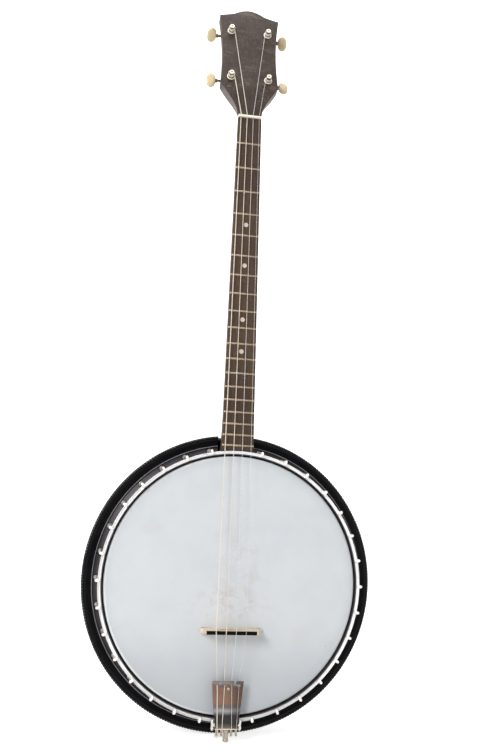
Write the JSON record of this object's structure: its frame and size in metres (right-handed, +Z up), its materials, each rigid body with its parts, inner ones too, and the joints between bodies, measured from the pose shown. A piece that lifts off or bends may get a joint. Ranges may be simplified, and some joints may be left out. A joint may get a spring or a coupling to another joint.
{
  "type": "tenor banjo",
  "caption": "Four-string closed-back banjo with a long scale, moulded pot and resonator, hooked tension hoop, geared tuners and a movable bridge.",
  "frame": {"origin": "inside the peghead's lower flare, midway through its thickness, where a wall hanger's fork carries the banjo", "axes": "+Z up along the neck towards the peghead's tip, +Y from the front towards the resonator's back, +X to the right seen from the front"},
  "size_m": [0.33, 0.098, 0.8865],
  "materials": {
    "neck_wood": "satin dark stain, worn",
    "rosewood": "oiled",
    "bone": "polished bone look",
    "brown_plastic": "glossy moulding",
    "black_plastic": "glossy moulding",
    "nickel": "polished nickel plate",
    "head_film": "frosted film",
    "maple": "bare wood",
    "pale_wood": "bare wood",
    "cream_plastic": "moulded, slightly mottled",
    "bronze_wire": "wound wire",
    "steel_wire": "plain wire"
  },
  "bodies": {
    "instrument": {"neck": "neck_wood", "fingerboard": "rosewood", "string_nut": "bone", "rim": "brown_plastic", "resonator": "black_plastic", "tension_hoop": "nickel", "drum_head": "head_film", "dowel_stick": "pale_wood", "end_screw": "nickel", "resonator_screw": "nickel", "tailpiece": "nickel", "tailpiece_hanger": "nickel", "tailpiece_screw": "nickel", "string_1": "bronze_wire", "string_2": "bronze_wire", "string_3": "steel_wire", "string_4": "steel_wire", "tuner_1_plate": "nickel", "tuner_2_plate": "nickel", "tuner_3_plate": "nickel", "tuner_4_plate": "nickel", "bracket_hook_01": "nickel", "bracket_hook_02": "nickel", "bracket_hook_03": "nickel", "bracket_hook_04": "nickel", "bracket_hook_05": "nickel", "bracket_hook_06": "nickel", "bracket_hook_07": "nickel", "bracket_hook_08": "nickel", "bracket_hook_09": "nickel", "bracket_hook_10": "nickel", "bracket_hook_11": "nickel", "bracket_hook_12": "nickel", "bracket_hook_13": "nickel", "bracket_hook_14": "nickel", "bracket_hook_15": "nickel", "bracket_hook_16": "nickel", "bracket_hook_17": "nickel", "bracket_hook_18": "nickel", "bracket_hook_19": "nickel", "bracket_hook_20": "nickel", "bracket_hook_21": "nickel", "bracket_hook_22": "nickel", "bracket_hook_23": "nickel", "bracket_hook_24": "nickel", "bracket_hook_25": "nickel", "bracket_hook_26": "nickel", "bracket_hook_27": "nickel", "bracket_hook_28": "nickel", "bracket_hook_29": "nickel", "bracket_hook_30": "nickel"},
    "bridge": {"bridge": "maple"},
    "tuner_1_post": {"tuner_1_post": "nickel"},
    "tuner_1_button": {"tuner_1_button": "cream_plastic"},
    "tuner_2_post": {"tuner_2_post": "nickel"},
    "tuner_2_button": {"tuner_2_button": "cream_plastic"},
    "tuner_3_post": {"tuner_3_post": "nickel"},
    "tuner_3_button": {"tuner_3_button": "cream_plastic"},
    "tuner_4_post": {"tuner_4_post": "nickel"},
    "tuner_4_button": {"tuner_4_button": "cream_plastic"}
  },
  "joints": [
    {"name": "tuner_1_post_turn", "type": "hinge", "parent": "instrument", "child": "tuner_1_post", "pos_m": [-0.0235, 0.00335, 0.0389], "axis": [0, 0.9681, -0.2504], "continuous": true, "deforming": ["string_1"]},
    {"name": "tuner_1_button_turn", "type": "hinge", "parent": "instrument", "child": "tuner_1_button", "pos_m": [-0.0235, 0.02374, 0.04226], "axis": [1, 0, 0], "continuous": true},
    {"name": "tuner_2_post_turn", "type": "hinge", "parent": "instrument", "child": "tuner_2_post", "pos_m": [-0.0235, 0.022, 0.11103], "axis": [0, 0.9681, -0.2504], "continuous": true, "deforming": ["string_2"]},
    {"name": "tuner_2_button_turn", "type": "hinge", "parent": "instrument", "child": "tuner_2_button", "pos_m": [-0.0235, 0.04239, 0.11439], "axis": [1, 0, 0], "continuous": true},
    {"name": "tuner_3_post_turn", "type": "hinge", "parent": "instrument", "child": "tuner_3_post", "pos_m": [0.0235, 0.022, 0.11103], "axis": [0, 0.9681, -0.2504], "continuous": true, "deforming": ["string_3"]},
    {"name": "tuner_3_button_turn", "type": "hinge", "parent": "instrument", "child": "tuner_3_button", "pos_m": [0.0235, 0.04239, 0.11439], "axis": [1, 0, 0], "continuous": true},
    {"name": "tuner_4_post_turn", "type": "hinge", "parent": "instrument", "child": "tuner_4_post", "pos_m": [0.0235, 0.00335, 0.0389], "axis": [0, 0.9681, -0.2504], "continuous": true, "deforming": ["string_4"]},
    {"name": "tuner_4_button_turn", "type": "hinge", "parent": "instrument", "child": "tuner_4_button", "pos_m": [0.0235, 0.02374, 0.04226], "axis": [1, 0, 0], "continuous": true},
    {"name": "bridge_slide", "type": "slide", "parent": "instrument", "child": "bridge", "axis": [0, 0, 1], "range_m": [-0.006, 0.006], "deforming": ["string_1", "string_2", "string_3", "string_4"]}
  ],
  "couplings": [
    {"joint": "tuner_1_button_turn", "follows": "tuner_1_post_turn", "ratio": 14},
    {"joint": "tuner_2_button_turn", "follows": "tuner_2_post_turn", "ratio": 14},
    {"joint": "tuner_3_button_turn", "follows": "tuner_3_post_turn", "ratio": -14},
    {"joint": "tuner_4_button_turn", "follows": "tuner_4_post_turn", "ratio": -14}
  ]
}
